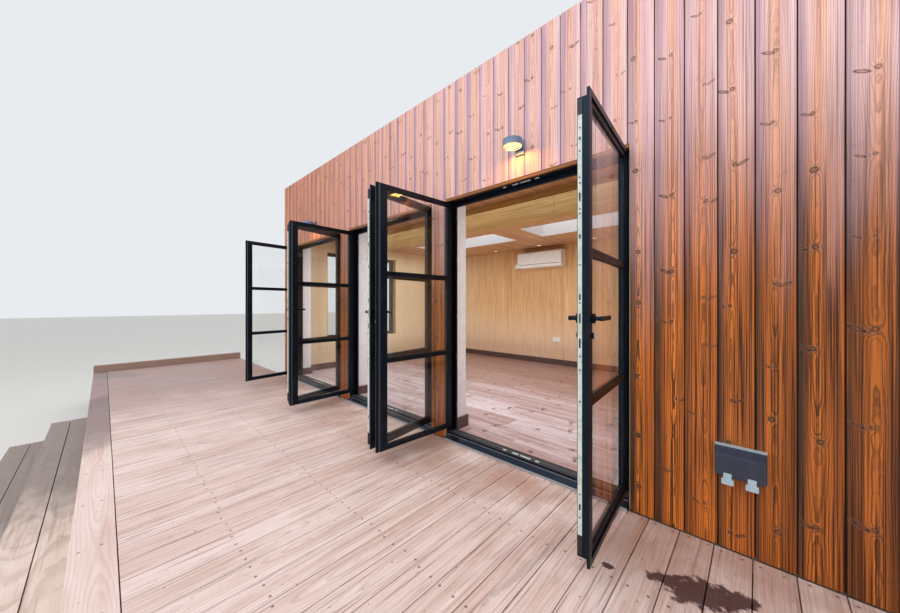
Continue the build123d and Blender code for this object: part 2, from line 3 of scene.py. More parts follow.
import bpy
import numpy as np
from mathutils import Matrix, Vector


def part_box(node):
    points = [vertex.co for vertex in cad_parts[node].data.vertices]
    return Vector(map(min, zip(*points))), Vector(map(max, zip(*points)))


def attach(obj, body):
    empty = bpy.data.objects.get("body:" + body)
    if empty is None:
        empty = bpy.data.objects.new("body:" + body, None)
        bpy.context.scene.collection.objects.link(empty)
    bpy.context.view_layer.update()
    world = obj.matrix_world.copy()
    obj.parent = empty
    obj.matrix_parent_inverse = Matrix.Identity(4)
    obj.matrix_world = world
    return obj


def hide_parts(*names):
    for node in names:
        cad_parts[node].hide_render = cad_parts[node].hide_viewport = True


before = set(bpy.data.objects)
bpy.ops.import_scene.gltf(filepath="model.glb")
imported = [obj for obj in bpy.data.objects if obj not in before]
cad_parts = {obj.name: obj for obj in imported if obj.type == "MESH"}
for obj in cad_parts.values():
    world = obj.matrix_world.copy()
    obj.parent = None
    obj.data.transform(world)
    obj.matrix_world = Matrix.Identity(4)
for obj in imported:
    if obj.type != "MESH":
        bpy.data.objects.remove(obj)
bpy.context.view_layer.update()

# Camera. It stands on the deck in front of the third doorway, 1.19 m above the boards.
# It is level and looks to the left along the front wall, so upright edges stay upright.
wall_low, wall_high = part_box("front_cladding")
deck_low, deck_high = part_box("deck_boards")
left, face = wall_low.x, wall_low.y
deck = deck_high.z
view = bpy.data.cameras.new("camera")
view.sensor_width = 36
view.lens = 13.06
view.shift_y = -0.0028
camera = bpy.data.objects.new("camera", view)
camera.location = (left + 5.728, face - 2.07, deck + 1.186)
camera.rotation_euler = (math.radians(90), 0, math.radians(43.27))
bpy.context.scene.collection.objects.link(camera)
bpy.context.scene.camera = camera
bpy.context.scene.view_settings.view_transform = "Standard"


# Studio. A pale floor runs out to a pale background, under a soft even sky. A long soft
# lamp hangs in front of the wall and a weak one under the ceiling lights the room.
def colour(red, green, blue):
    """A colour as it looks, from 0 to 255, turned into linear light by the sRGB curve."""
    share = np.array([red, green, blue]) / 255
    linear = np.where(share <= 0.04045, share / 12.92, ((share + 0.055) / 1.055) ** 2.4)
    return (*linear.tolist(), 1.0)


class Value:
    """The output of a shader node. A sum of values is worked out by Math nodes."""

    def __init__(self, socket):
        self.socket = socket

    def __add__(self, other):
        return calc("ADD", self, other)

    def __sub__(self, other):
        return calc("SUBTRACT", self, other)

    def __rsub__(self, other):
        return calc("SUBTRACT", other, self)

    def __mul__(self, other):
        return calc("MULTIPLY", self, other)

    def __truediv__(self, other):
        return calc("DIVIDE", self, other)

    def __lt__(self, other):
        return calc("LESS_THAN", self, other)

    def __gt__(self, other):
        return calc("GREATER_THAN", self, other)

    def __abs__(self):
        return calc("ABSOLUTE", self)


def feed(node, inputs):
    """Set or link each named input of a node. Three numbers are a colour as it looks."""
    for name, value in inputs.items():
        socket = node.inputs[name]
        if isinstance(value, Value):
            node.id_data.links.new(value.socket, socket)
        else:
            socket.default_value = colour(*value) if np.size(value) == 3 else value
    return node


def add(kind, inputs, tree=None, **settings):
    """A new shader node with its settings and inputs, in the node tree of its inputs."""
    tree = tree or next(value.socket.id_data for value in inputs.values() if isinstance(value, Value))
    node = tree.nodes.new("ShaderNode" + kind)
    for name, value in settings.items():
        setattr(node, name, value)
    return feed(node, inputs)


def output(name, kind, inputs, tree=None, **settings):
    """One output of a new shader node."""
    return Value(add(kind, inputs, tree, **settings).outputs[name])


def calc(operation, *values):
    """A Math node."""
    return output(0, "Math", dict(enumerate(values)), operation=operation)


def finish(name):
    """A new material, its node tree and its Principled shader."""
    material = bpy.data.materials.new(name)
    material.use_nodes = True
    return material, material.node_tree, material.node_tree.nodes["Principled BSDF"]


def mesh_piece(name, points, faces, material, attributes=None):
    """A piece from arrays of points and faces, with values for the grain at its points."""
    mesh = bpy.data.meshes.new(name)
    mesh.from_pydata(points.tolist(), [], faces)
    for label, values in (attributes or {}).items():
        kind = "FLOAT_VECTOR" if values.ndim == 2 else "FLOAT"
        field = mesh.attributes.new(label, kind, "POINT")
        field.data.foreach_set("vector" if values.ndim == 2 else "value", values.astype(np.float32).ravel())
    mesh.materials.append(material)
    piece = bpy.data.objects.new(name, mesh)
    bpy.context.scene.collection.objects.link(piece)
    return piece


world = bpy.data.worlds.new("sky")
bpy.context.scene.world = world
world.use_nodes = True
sky = world.node_tree
lit = output(0, "Background", {"Color": (1.0, 1.0, 1.0, 1), "Strength": 0.85}, sky)
shown = output(0, "Background", {"Color": (232, 236, 240), "Strength": 1.0}, sky)
direct = 0.0
for ray in ("Is Camera Ray", "Is Glossy Ray", "Is Transmission Ray"):
    direct = calc("MAXIMUM", direct, output(ray, "LightPath", {}, sky))
either = output(0, "MixShader", {0: direct, 1: lit, 2: shown})
feed(sky.nodes["World Output"], {"Surface": either})

ground, tree, shader = finish("studio_floor")
feed(shader, {"Base Color": (214, 214, 212), "Roughness": 0.9})
reach = 60.0
corners = np.array([(-reach, -reach, 0), (reach, -reach, 0), (reach, reach, 0), (-reach, reach, 0)])
floor = mesh_piece("studio_floor", corners, [(0, 1, 2, 3)], ground)


def soft_lamp(name, width, height, brightness, place, aim):
    """A rectangular lamp of even brightness, turned so that it shines from place towards aim."""
    lamp = bpy.data.lights.new(name, "AREA")
    lamp.shape = "RECTANGLE"
    lamp.size, lamp.size_y = width, height
    lamp.energy = brightness * math.pi * width * height
    made = bpy.data.objects.new(name, lamp)
    made.location = place
    way = np.array(aim) - np.array(place)
    made.rotation_euler = (math.atan2(math.hypot(way[0], way[1]), -way[2]), 0,
                           math.atan2(way[0], -way[1]) + math.pi)
    bpy.context.scene.collection.objects.link(made)
    return made


soft_lamp("front_lamp", 13.0, 4.0, 2.0, (left + 3.0, face - 5.6, deck + 6.6),
          (left + 3.0, face, deck + 1.4))
room_x = left + 3.23
room_lamp = soft_lamp("room_lamp", 5.4, 2.4, 2.05, (room_x, face + 1.7, deck + 2.2),
                      (room_x, face + 1.7001, deck))
room_fill = soft_lamp("room_fill", 5.4, 2.6, 0.95, (room_x, face + 2.0, deck + 0.3),
                      (room_x, face + 2.0001, deck + 3.0))
for lamp in (room_lamp, room_fill):
    lamp.data.color = (0.82, 0.93, 1.0)
    lamp.visible_camera = lamp.visible_glossy = lamp.visible_transmission = False


# Wall boards. Redwood boards stand side by side with a dark shadow gap, their outer edges
# eased, each lapped over the next and nailed to battens. Over the doorways and round the
# side window they are cut short. Towards the top of the wall they turn paler and pinker,
# partly weathered and partly a painted sky sheen. The right end of the wall is painted
# darker as shade, and the laps in the gaps are painted dark as shade.
board_pitch, board_gap = 0.1345, 0.005
board_front, board_lap = 0.014, 0.012
board_ease, lap_ease, unevenness, tilt, sliver = 0.0028, 0.0002, 0.0008, 0.006, 0.004
grain_shift = 57.0
chance = np.random.default_rng(7)
rightward, leftward, inward, outward, upward = (1, 0, 0), (-1, 0, 0), (0, 1, 0), (0, -1, 0), (0, 0, 1)


def eased(width, thickness, radius):
    """Profiles of flat bars: each upper corner is a quarter circle, its centre plus the radius times
    cosine and sine, and the lower corners are square. Returned as bar, point, (across, out)."""
    turn = np.linspace(0, math.pi / 2, 4)
    width, thickness = (np.array(size, float)[:, None] for size in
                        np.broadcast_arrays(np.atleast_1d(width), np.atleast_1d(thickness)))
    right = width / 2 - radius + radius * np.cos(turn), -radius + radius * np.sin(turn) + 0 * width
    across = np.concatenate([width / 2, right[0], -right[0][:, ::-1], -width / 2], axis=1)
    out = np.concatenate([-thickness, right[1], right[1][:, ::-1], -thickness], axis=1)
    return np.stack([across, out], axis=2)


def ring_faces(first, count):
    """Faces from each ring of points to the next: a point, its neighbour and the two beyond them."""
    here, after = first + np.arange(count), first + (np.arange(count) + 1) % count
    return np.stack([here, after, count + after, count + here], axis=2)


def bars(name, profile, middle, level, start, end, ways, material, seeds=None, origin=(0, 0, 0)):
    """Bars in one mesh: each point is origin + across*(middle+u) + out*(level+v) + along*(start or
    end), for each (u, v) of the bar's profile. The grain starts anew on each bar."""
    across, out, along = (np.array(way, float) for way in ways)
    count, corners = profile.shape[:2]
    middle, level = np.broadcast_to(middle, count), np.broadcast_to(level, count)
    ends = np.stack([np.broadcast_to(start, count), np.broadcast_to(end, count)], axis=1)
    u = profile[:, None, :, 0] + np.zeros((1, 2, 1))
    v = profile[:, None, :, 1] + np.zeros((1, 2, 1))
    w = ends[:, :, None] + np.zeros((1, 1, corners))
    place = ((u + middle[:, None, None])[..., None] * across + (v + level[:, None, None])[..., None] * out
             + w[..., None] * along + np.array(origin, float))
    seeds = chance.random(count) if seeds is None else seeds
    grain = np.stack([u, v, w + seeds[:, None, None] * grain_shift], axis=3).reshape(-1, 3)
    first = np.arange(count)[:, None] * 2 * corners
    here, sides = np.arange(corners), ring_faces(first, corners)
    caps = np.concatenate([first + here[::-1], first + corners + here], axis=0)
    if np.dot(np.cross(across, out), along) < 0:
        sides, caps = sides[..., ::-1], caps[:, ::-1]
    faces = sides.reshape(-1, 4).tolist() + caps.tolist()
    seed = np.repeat(seeds, 2 * corners)
    return mesh_piece(name, place.reshape(-1, 3), faces, material, {"grain": grain, "seed": seed})


def circles(count, radius, corners):
    """Round profiles for bars: the radius times the cosine and the sine of equal turns."""
    turn = np.linspace(0, 2 * math.pi, corners, endpoint=False)
    return radius * np.stack([np.cos(turn), np.sin(turn)], axis=1) + np.zeros((count, 1, 1))


def joined(name, pieces):
    """Several pieces as one."""
    bpy.ops.object.select_all(action="DESELECT")
    for piece in pieces:
        piece.select_set(True)
    bpy.context.view_layer.objects.active = pieces[0]
    bpy.ops.object.join()
    pieces[0].name = pieces[0].data.name = name
    return pieces[0]


def cut_boards(start, end, offset, foot, top, holes):
    """Rows of (from, to, foot, top, lap from, lap to, board number) for upright boards round holes.
    The first board's far edge lies at the offset from the start, and the last is cut to the end."""
    rows = []
    count = math.ceil((end - start - offset) / board_pitch - 0.1) + 1
    for number in range(count):
        edge = start + offset + number * board_pitch
        low = edge - board_pitch + board_gap / 2 if number else start
        high = edge - board_gap / 2 if number < count - 1 else end
        lap_low = low - (board_gap / 2 if number else 0)
        lap_high = high + (board_gap / 2 if number < count - 1 else 0)
        met = [hole for hole in holes if hole[0] < high and hole[1] > low]
        if not met:
            rows.append((low, high, foot, top, lap_low, lap_high, number))
            continue
        hole = met[0]
        rows.append((low, high, hole[3], top, lap_low, lap_high, number))
        if hole[2] > foot:
            rows.append((low, high, foot, hole[2], lap_low, lap_high, number))
        if hole[0] - low > sliver:
            rows.append((low, hole[0], max(foot, hole[2]), hole[3], lap_low, hole[0], number))
        if high - hole[1] > sliver:
            rows.append((hole[1], high, max(foot, hole[2]), hole[3], hole[1], lap_high, number))
    return np.array(rows)


def board_wall(name, rows, level, ways, material):
    """Upright boards, their faces uneven by less than a millimetre, over a thin lap behind them, painted
    dark as shade in the gaps.
    """
    low, high, foot, top, lap_low, lap_high = rows[:, :6].T
    number = rows[:, 6].astype(int)
    seeds = chance.random(number.max() + 1)[number]
    sunk = unevenness * seeds
    front = eased(high - low, board_front - sunk, board_ease)
    lean = (seeds * 7.3 % 1 - 0.5) * tilt
    front[..., 1] -= (np.abs(lean) * (high - low) / 2)[:, None] + lean[:, None] * front[..., 0]
    front[:, (0, -1), 1] = -board_front
    fronts = bars(name, front, (low + high) / 2, level, foot, top, ways, material, seeds)
    back = eased(lap_high - lap_low, board_lap, lap_ease)
    laps = bars(name + "_laps", back, (lap_low + lap_high) / 2, level - board_front, foot, top, ways,
                lap_redwood_painted_shade, seeds)
    return joined(name, [fronts, laps])


def ease(value, low, high, start=0.0, end=1.0):
    """A value eased from start to end as the input goes from low to high."""
    inputs = {"Value": value, "From Min": low, "From Max": high, "To Min": start, "To Max": end}
    return output("Result", "MapRange", inputs, interpolation_type="SMOOTHSTEP")


def tint(share, first, second, mode="MIX"):
    """Two colours mixed."""
    return output(2, "Mix", {0: share, 6: first, 7: second}, data_type="RGBA", blend_type=mode)


def layered(base, coats):
    """A colour with others laid over it in turn, each as far as its share."""
    for share, shade in coats:
        base = tint(share, base, shade)
    return base


def place_of(x, y, z):
    """A vector put together from three values."""
    return output(0, "CombineXYZ", {"X": x, "Y": y, "Z": z})


def parts_of(vector):
    """The three values of a vector."""
    return [Value(part) for part in add("SeparateXYZ", {0: vector}).outputs]


def noise(vector, scale=1.0, detail=2.0, roughness=0.5, which=0):
    """Soft noise from 0 to 1. Its output is one value, or a colour for which=1."""
    inputs = {"Vector": vector, "Scale": scale, "Detail": detail, "Roughness": roughness}
    return output(which, "TexNoise", inputs)


def dice(seed, which="Value"):
    """A chance value, or a colour of three, for each value of the seed."""
    return output(which, "TexWhiteNoise", {"W": seed}, noise_dimensions="1D")


def new_group(name, takes, gives):
    """An empty shader node group. takes maps names to values, or to None for a vector, and every
    output is a value."""
    group = bpy.data.node_groups.new(name, "ShaderNodeTree")
    for label, value in takes.items():
        kind = "NodeSocketVector" if value is None else "NodeSocketFloat"
        socket = group.interface.new_socket(name=label, in_out="INPUT", socket_type=kind)
        if value is not None:
            socket.default_value = value
    for label in gives:
        group.interface.new_socket(name=label, in_out="OUTPUT", socket_type="NodeSocketFloat")
    given = {socket.name: Value(socket) for socket in group.nodes.new("NodeGroupInput").outputs}
    return group, given, group.nodes.new("NodeGroupOutput")


def placed(group, inputs):
    """The outputs of a shader node group, placed in the node tree of its inputs."""
    node = add("Group", inputs, node_tree=group)
    return {socket.name: Value(socket) for socket in node.outputs}


def make_timber_figure():
    """Growth rings of a sawn board: the distance from a pith line that wanders behind the face,
    divided by the ring width. Each stretch of board has a round knot near the pith line and often
    a skewed one beside it, and the rings bow round them by a bell curve."""
    takes = {"Grain": None, "Seed": 0.5, "Ring width": 0.006, "Pith depth": 0.03, "Knot size": 0.011,
             "Knot spacing": 0.45}
    gives = ["Rings", "Heart", "Tone", "Fibre", "Knot", "Knot edge", "Halo", "Chance"]
    group, given, result = new_group("timber_figure", takes, gives)
    x, y, z = parts_of(given["Grain"])
    first, second, third = parts_of(dice(given["Seed"], "Color"))
    wander = parts_of(noise(place_of(first * 40.0, second * 40.0, z * 0.8), 1.0, 1.5, which=1))
    pith_x = (wander[0] - 0.5) * 0.035 + (first - 0.45) * 0.05
    deep = given["Pith depth"] * (wander[1] * 3.2 - 1.2)
    dx = x - pith_x
    ripple = noise(place_of(given["Seed"] * 70.0, 0.0, z * 12.0))
    dy = y + ((ripple - 0.5) * 0.009 + deep)
    # Knots, two in each stretch of board
    stretch = first * 7.0 + z / given["Knot spacing"]
    whorl_at = place_of(calc("FLOOR", stretch), given["Seed"] * 191.0, 0.0)
    cast = parts_of(output("Color", "TexWhiteNoise", {"Vector": whorl_at}, noise_dimensions="2D"))
    middle = cast[0] * 0.5 + 0.25
    along = (calc("FRACT", stretch) - middle) * given["Knot spacing"]
    size = given["Knot size"] * (cast[1] * 0.6 + 0.4)
    near_x = dx - (cast[2] * 0.024 - 0.012)
    side = (cast[2] > 0.5) * 2.0 - 1.0
    far_x = side * (cast[0] * -0.026 - 0.026) + dx
    skew = far_x * side * -0.45 + along
    shares = []
    for aside, up, squash in ((near_x, along, 1.0), (far_x, skew, 0.34)):
        aside = aside * squash
        squared = aside * aside + up * up
        shares.append(calc("SQRT", squared) / (size * (0.7 + squash * 0.3)))
    shares[1] = shares[1] + (cast[1] > 0.7) * 9.0
    ragged = (noise(given["Grain"], 170.0, 2.0) - 0.5) * 0.7
    share = calc("MINIMUM", shares[0], shares[1]) + ragged
    knot = 1.0 - ease(share, 0.5, 0.8)
    edge = ease(share, 0.4, 0.66) * (1.0 - ease(share, 0.8, 1.1))
    halo = ease(share, 0.75, 1.0) * (1.0 - ease(share, 1.2, 2.1))
    push = 0.0
    for share in shares:
        bell = calc("EXPONENT", share * share * -0.35)
        push = bell * (size * 0.8) + push
    # Rings, bent round the knots
    wobble = noise(place_of(x * 16.0, given["Seed"] * 90.0, z * 2.4), 1.0, 3.0)
    radius = calc("SQRT", dx * dx + dy * dy)
    turns = ((wobble - 0.5) * 0.009 + (radius + push)) / given["Ring width"]
    part = calc("FRACT", turns)
    late = ease(part, 0.38, 0.84) * (1.0 - ease(part, 0.91, 1.0))
    late = late * (dice(calc("FLOOR", turns)) * 0.5 + 0.5)
    tone_at = place_of(x * 13.0, given["Seed"] * 50.0, z * 1.1)
    fibre_at = place_of(x * 330.0, y * 330.0, z * 7.0)
    off_pith = ((wander[2] - 0.5) * 0.05 + dx) / 0.026
    feed(result, {"Rings": late, "Heart": calc("EXPONENT", off_pith * off_pith * -1.0),
                  "Tone": noise(tone_at, 1.0, 2.5), "Fibre": noise(fibre_at, 1.0, 3.0, 0.6),
                  "Knot": knot, "Knot edge": edge, "Halo": halo, "Chance": third})
    return group


timber_figure = make_timber_figure()


def own_grain(tree):
    """The place in a board's own grain, and the board's seed."""
    return (output("Vector", "Attribute", {}, tree, attribute_name="grain"),
            output("Fac", "Attribute", {}, tree, attribute_name="seed"))


def board_grain(tree, **values):
    """The timber figure, read along each board's own grain."""
    grain, seed = own_grain(tree)
    inputs = {name.replace("_", " ").capitalize(): value for name, value in values.items()}
    return placed(timber_figure, {"Grain": grain, "Seed": seed, **inputs})


def object_place(tree):
    """Object coordinates, and their three values."""
    here = output("Object", "TexCoord", {}, tree)
    return here, parts_of(here)


def raised(height, distance):
    """A Bump normal from a height of 0 to 1 and its real depth in metres."""
    return output("Normal", "Bump", {"Height": height, "Distance": distance, "Strength": 1.0})


def dress(shader, shade, fibre, smooth, coarse, relief, depth):
    """Feed a shader its colour, a roughness that follows the fibre, and a relief."""
    return feed(shader, {"Base Color": shade, "Roughness": ease(fibre, 0.2, 0.8, smooth, coarse),
                         "Normal": raised(relief, depth)})


def lay_over(material, share, second):
    """Lay a second colour over a material's own where the share is 1."""
    shader = material.node_tree.nodes["Principled BSDF"]
    own = Value(shader.inputs["Base Color"].links[0].from_socket)
    return feed(shader, {"Base Color": tint(share, own, second)})


jamb_hidden = 0.010
doorways = []
for number in (1, 2, 3):
    low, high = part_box("door_frame_%d" % number)
    doorways.append((low.x + jamb_hidden, high.x - jamb_hidden, deck - 0.1, high.z - jamb_hidden))

redwood, tree, shader = finish("redwood")
wood = board_grain(tree, ring_width=0.0062, pith_depth=0.034, knot_size=0.0145, knot_spacing=0.36)
here, (x, y, z) = object_place(tree)
across, _, run = parts_of(own_grain(tree)[0])
streak = noise(place_of(across * 120.0, 0.0, run * 0.8), 1.0, 3.0, 0.6)
broad = noise(place_of(across * 26.0, 3.0, run * 0.5), 1.0, 2.0)
edge_at = streak * 0.02 + (wood["Chance"] * -0.034 + across)
grey_side = (1.0 - ease(edge_at, -0.062, -0.026)) * ease(wood["Tone"], 0.3, 0.6, 0.55, 1.0)
fine = noise(place_of(across * 210.0, 5.0, run * 1.2), 1.0, 2.0)
fine_line = ease(fine, 0.52, 0.64, 0.0, 0.9)
line_depth = (wood["Heart"] * 0.3 + 0.7) * ease(wood["Chance"], 0.1, 0.9, 0.8, 1.0)
warm = layered(tint(ease(broad, 0.36, 0.64), (160, 84, 28), (228, 122, 44)), [
    (ease(wood["Chance"], 0.9, 0.2, 0.0, 0.4), (92, 50, 22)),
    # These two coats make the boards at the wall's right end darker than the rest, a painted shade there.
    (ease(x, left + 5.3, left + 6.1, 0.6, 0.0), (234, 130, 58)),
    (ease(x, left + 5.7, left + 6.2, 0.0, 0.35), (80, 46, 20)),
    (wood["Heart"] * ease(wood["Chance"], 0.0, 0.8, 0.3, 0.9), (244, 138, 52)),
    (ease(streak, 0.5, 0.66, 0.0, 0.85), (66, 34, 14)),
    (ease(streak, 0.46, 0.32, 0.0, 0.55), (240, 134, 52)),
    (grey_side, tint(streak, (84, 62, 46), (50, 36, 26))),
    (fine_line, (44, 24, 12)),
    (wood["Rings"] * line_depth, (34, 18, 8)),
    (ease(wood["Fibre"], 0.5, 0.8, 0.0, 0.3), (70, 38, 20)),
    (wood["Halo"] * 0.4, (128, 92, 72)),
    (wood["Knot"] * 0.75, (122, 76, 46)),
    (wood["Knot edge"] * 0.9, (38, 30, 28)),
])
# Paler, pinker coat high on the wall: partly sun bleaching and partly a painted sky reflection (sheen),
# weaker to the left and near the wall's right end.
height = wood["Tone"] * 0.9 + z + ease(x, left + 5.6, left + 5.2, 0.0, 0.3)
bleach_and_sky_sheen = ease(height, deck + 1.6, deck + 3.0, 0.0, 0.95) * ease(x, left - 0.5, left + 5.2, 0.3, 1.0)
bleached_and_sky_sheen = layered(tint(ease(broad, 0.38, 0.62), (234, 196, 210), (254, 220, 220)), [
    (wood["Heart"] * 0.7, (250, 184, 144)),
    (ease(streak, 0.52, 0.7, 0.0, 0.7), (164, 108, 100)),
    (grey_side * 0.7, (174, 140, 158)),
    (wood["Rings"] * 0.42, (168, 104, 88)),
    (fine_line * 0.5, (156, 104, 98)),
    (ease(x, left + 4.0, left + 0.6, 0.0, 0.55), (214, 136, 106)),
    (wood["Knot"] * 0.6, (160, 104, 84)),
    (wood["Knot edge"] * 0.9, (92, 58, 50)),
])
sawn = under_head = 0.0
for low_x, high_x, _, head in doorways:
    for edge in (low_x, high_x):
        sawn = calc("MAXIMUM", sawn, ease(abs(x - edge), 0.0065, 0.005))
    over = calc("COMPARE", x, (low_x + high_x) / 2, (high_x - low_x) / 2 + 0.003)
    under_head = calc("MAXIMUM", under_head, over * calc("COMPARE", z, head, 0.0012))
faded_and_sheened = layered(warm, [
    (bleach_and_sky_sheen, bleached_and_sky_sheen),
    (sawn * (z < head + 0.001) * 0.7, (214, 168, 104)),
    (under_head * 0.8, (150, 92, 36)),
])
relief = wood["Rings"] * 0.7 + wood["Fibre"] * 0.5
feed(dress(shader, faded_and_sheened, wood["Fibre"], 0.34, 0.48, relief, 0.0006), {"Specular IOR Level": 0.3})

# Laps seen through the shadow gaps are painted dark brown: painted shade in the gaps.
lap_redwood_painted_shade, tree, shader = finish("lap_redwood_painted_shade")
wood = board_grain(tree)
dress(shader, tint(wood["Tone"], (44, 26, 20), (66, 40, 30)), wood["Fibre"], 0.6, 0.8, wood["Fibre"], 0.0006)

first_board = 0.0715
rows = cut_boards(left, wall_high.x, first_board, wall_low.z, wall_high.z, doorways)
front_boards = board_wall("front_boards", rows, -face, (rightward, outward, upward), redwood)
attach(front_boards, "root")
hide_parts("front_cladding")

side_low, side_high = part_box("side_cladding")
window_low, window_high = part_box("gable_window_frame")
cladding_depth = 0.028
side_start, side_end = face + cladding_depth, side_high.y - cladding_depth
window = [(window_low.y, window_high.y, window_low.z, window_high.z)]
end_walls = (side_start, side_end, board_pitch - 0.002, side_low.z, side_high.z)
back_wall = (left, wall_high.x, board_pitch, side_low.z, side_high.z)
walls = []
for name, spans, holes, level, ways in (
        ("left_boards", end_walls, window, -side_low.x, (inward, leftward, upward)),
        ("right_boards", end_walls, [], side_high.x, (inward, rightward, upward)),
        ("back_boards", back_wall, [], side_high.y, (rightward, inward, upward))):
    walls.append(board_wall(name, cut_boards(*spans, holes), level, ways, redwood))
side_boards = joined("side_boards", walls)
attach(side_boards, "root")
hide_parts("side_cladding")


# Deck boards. Pale hardwood boards run out from the wall with their ends on a wider border
# board. They are a little weathered and marked by feet and rain.
deck_pitch, deck_gap, deck_thickness = 0.140, 0.004, 0.028
border = 0.160
deck_ease = 0.003


def screw_heads(tree, from_side, row_pitch, row_start):
    """Screw heads and their dark rims: the distance from the nearest of two screws in each row."""
    grain, seed = own_grain(tree)
    across, _, run = parts_of(grain)
    jitter = (seed - 0.5) * 0.024
    off_row = calc("PINGPONG", run - seed * grain_shift + jitter - row_start, row_pitch / 2)
    off_side = abs(across + jitter) - from_side
    distance = calc("SQRT", off_row * off_row + off_side * off_side)
    return ease(distance, 0.0062, 0.0036), ease(distance, 0.011, 0.0045)


def spot(x, y, centre, size, turned, ragged):
    """A blot: 1 where a point's distance in a turned ellipse, made uneven by noise, is under 1."""
    across, along = x - centre[0], y - centre[1]
    cosine, sine = math.cos(math.radians(turned)), math.sin(math.radians(turned))
    u = (along * sine + across * cosine) / size[0]
    v = (along * cosine - across * sine) / size[1]
    share = calc("SQRT", u * u + v * v)
    return 1.0 - ease(share + ragged, 0.75, 1.05)


# Weathered hardwood: pale boards with brown flames, grey patches, dark pores and a few marks
deck_timber, tree, shader = finish("deck_timber")
wood = board_grain(tree, ring_width=0.013, pith_depth=0.07, knot_size=0.0035, knot_spacing=0.8)
here, (x, y, z) = object_place(tree)
patches = noise(here, 2.2, 4.0, 0.6)
head, rim = screw_heads(tree, 0.038, 0.526, face - 0.035)
across, _, run = parts_of(own_grain(tree)[0])
streak = noise(place_of(across * 75.0, 0.0, run * 2.2), 1.0, 4.0, 0.65)
on_border = y < deck_low.y + border
streak = on_border * ((0.48 - streak) * 0.6) + streak
border_x = patches * 1.4 + x
stained = ease(border_x, left + 2.7, left + 1.9, 0.0, 0.8)
stained = stained * ease(border_x, left + 0.1, left + 0.7, 0.5, 1.0)
ragged = (noise(here, 26.0, 3.0, 0.6) - 0.5) * 1.7
damp = 0.0
for right, out, size, turned in ((5.235, 0.503, (0.03, 0.02), 0), (5.43, 0.41, (0.07, 0.035), 20),
                                 (5.56, 0.39, (0.15, 0.085), 30), (5.68, 0.33, (0.07, 0.05), 50)):
    damp = calc("MAXIMUM", damp, spot(x, y, (left + right, face - out), size, turned, ragged))
scuff = spot(x, y, (left + 4.98, face - 0.72), (0.02, 0.37), -7, ragged)
mould = spot(x, y, (left - 2.05, face - 1.95), (0.5, 0.22), 35, ragged)
pale = layered(tint(ease(wood["Chance"], 0.1, 0.9), (236, 218, 214), (224, 200, 194)), [
    (ease(wood["Tone"], 0.42, 0.74, 0.0, 0.5), (196, 154, 134)),
    (ease(streak, 0.5, 0.68, 0.0, 0.9), (172, 142, 142)),
    (ease(streak, 0.46, 0.3, 0.0, 0.6), (248, 236, 228)),
    (ease(patches, 0.52, 0.72, 0.0, 0.5), (240, 226, 222)),
    (ease(patches * 1.6 + x, left + 2.9, left + 0.2, 0.0, 0.85), (160, 136, 134)),
    (on_border * stained, (122, 104, 108)),
    (ease(y, face - 0.9, face - 0.1, 0.0, 0.75) * ease(patches, 0.75, 0.3), (168, 120, 98)),
    (wood["Rings"] * 0.28, (168, 122, 102)),
    (ease(wood["Fibre"], 0.56, 0.8, 0.0, 0.45), (158, 118, 102)),
    (wood["Knot"] * 0.7, (70, 48, 42)),
    (ease(noise(here, 46.0, 1.0), 0.74, 0.78, 0.0, 0.7), (96, 70, 62)),
    (rim * 0.3, (120, 92, 84)),
    (head * 0.75, (62, 54, 54)),
    (damp * 0.92, (66, 42, 46)),
    (scuff * 0.3, (134, 122, 124)),
    (mould * 0.4, (124, 120, 128)),
])
feed(shader, {"Base Color": pale, "Roughness": ease(patches, 0.3, 0.7, 0.5, 0.68) - damp * 0.25,
              "Normal": raised(wood["Fibre"] - head, 0.0006)})

inner_edge = deck_low.y + border
starts = np.arange(deck_low.x, deck_high.x - deck_gap, deck_pitch)
stops = np.minimum(starts + deck_pitch - deck_gap, deck_high.x)
deck_planks = bars("deck_planks", eased(stops - starts, deck_thickness, deck_ease), (starts + stops) / 2,
                   deck, inner_edge + deck_gap, deck_high.y, (rightward, upward, inward), deck_timber)
border_plank = bars("border_plank", eased(border, deck_thickness, deck_ease), deck_low.y + border / 2,
                    deck, deck_low.x, deck_high.x, (inward, upward, rightward), deck_timber)
deck_planks = joined("deck_planks", [deck_planks, border_plank])
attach(deck_planks, "root")
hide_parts("deck_boards")


def coat(material, *names):
    """Give CAD nodes a finish."""
    for name in names:
        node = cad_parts[name]
        if not node.material_slots:
            node.data.materials.append(material)
        for place in node.material_slots:
            place.material = material


